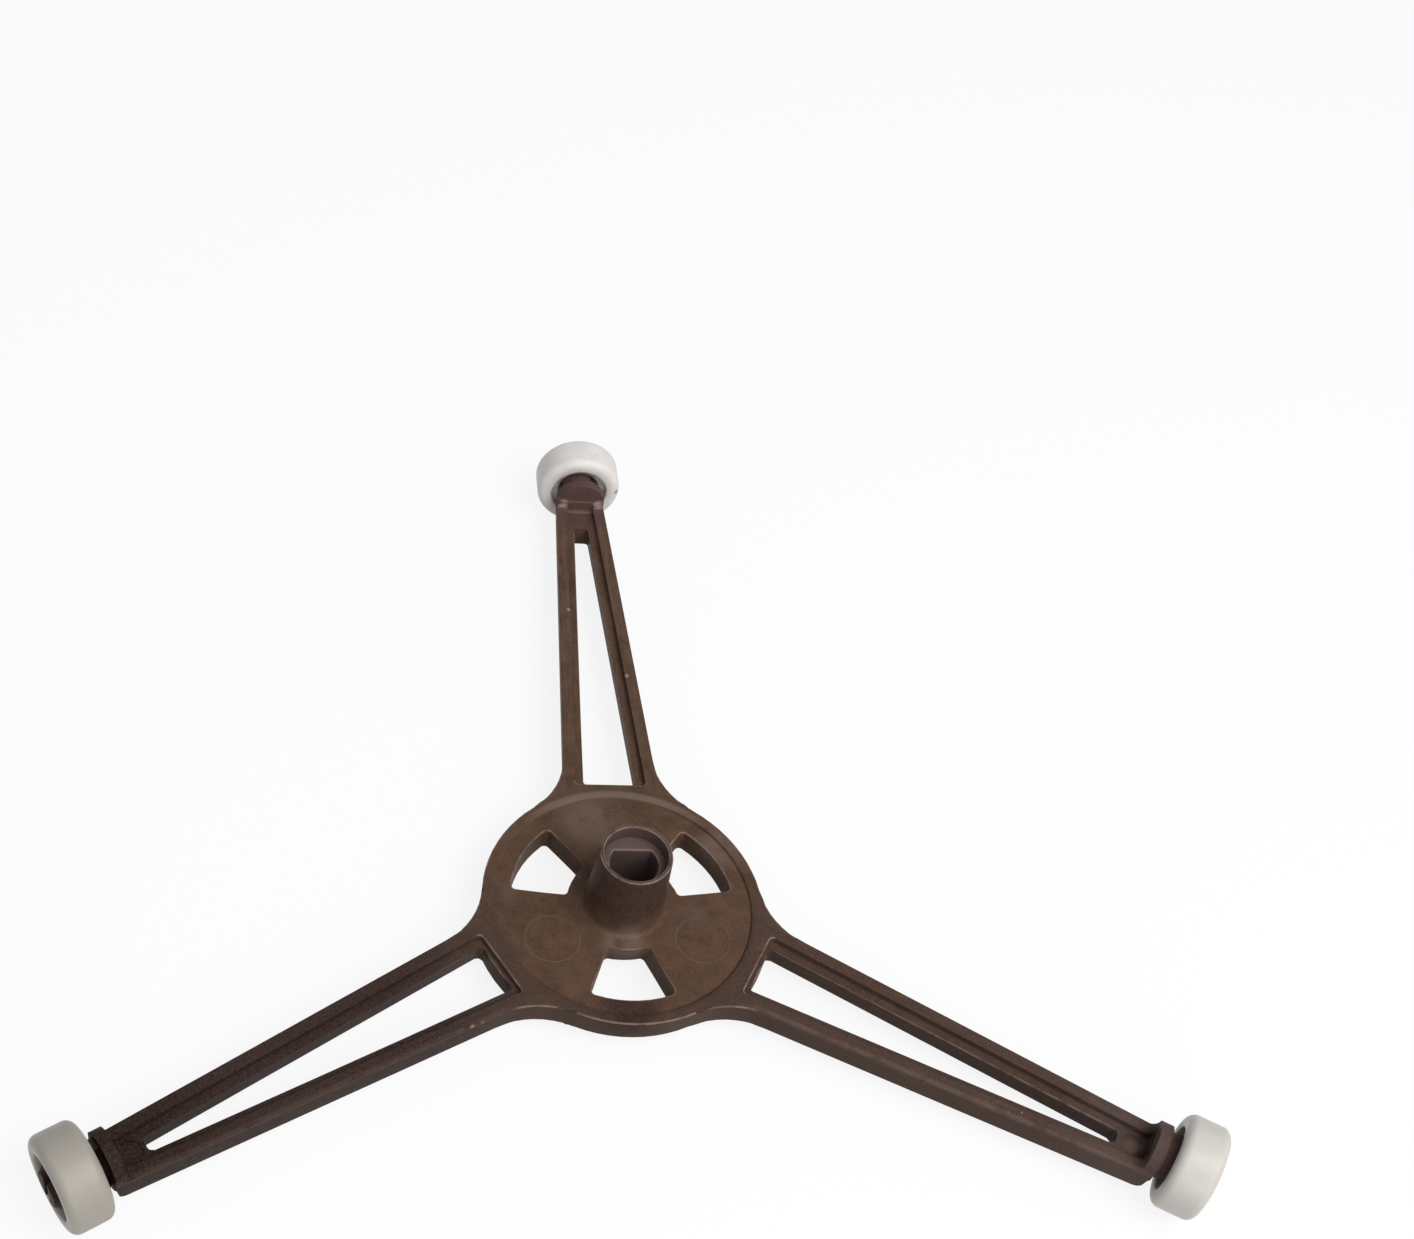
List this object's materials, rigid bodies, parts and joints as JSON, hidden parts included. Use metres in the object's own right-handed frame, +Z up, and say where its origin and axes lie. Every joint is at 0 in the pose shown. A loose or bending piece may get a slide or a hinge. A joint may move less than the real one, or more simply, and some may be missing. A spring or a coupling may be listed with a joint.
{
  "type": "microwave turntable roller support",
  "caption": "Y-shaped moulded roller support for a microwave turntable: windowed hub with a D-socket boss, slotted arms, and rollers that turn freely on snap-in axles.",
  "frame": {"origin": "on the hub axis at the height of the roller axles, inside the drive socket", "axes": "+Z up along the hub axis and out of the drive socket's mouth, +Y along the arm of roller_1; the part stands on its rollers"},
  "size_m": [0.1564, 0.1362, 0.0179],
  "materials": {
    "body": "brown heat-resistant moulded plastic, slightly mottled and scuffed",
    "roller": "warm white satin plastic"
  },
  "bodies": {
    "spider": {"spider": "body"},
    "roller_1": {"roller_1": "roller"},
    "roller_2": {"roller_2": "roller"},
    "roller_3": {"roller_3": "roller"}
  },
  "joints": [
    {"name": "roller_1_spin", "type": "hinge", "parent": "spider", "child": "roller_1", "pos_m": [0, 0.084, 0], "axis": [0, 1, 0], "continuous": true},
    {"name": "roller_2_spin", "type": "hinge", "parent": "spider", "child": "roller_2", "pos_m": [-0.07275, -0.042, 0], "axis": [-0.866, -0.5, 0], "continuous": true},
    {"name": "roller_3_spin", "type": "hinge", "parent": "spider", "child": "roller_3", "pos_m": [0.07275, -0.042, 0], "axis": [0.866, -0.5, 0], "continuous": true}
  ]
}
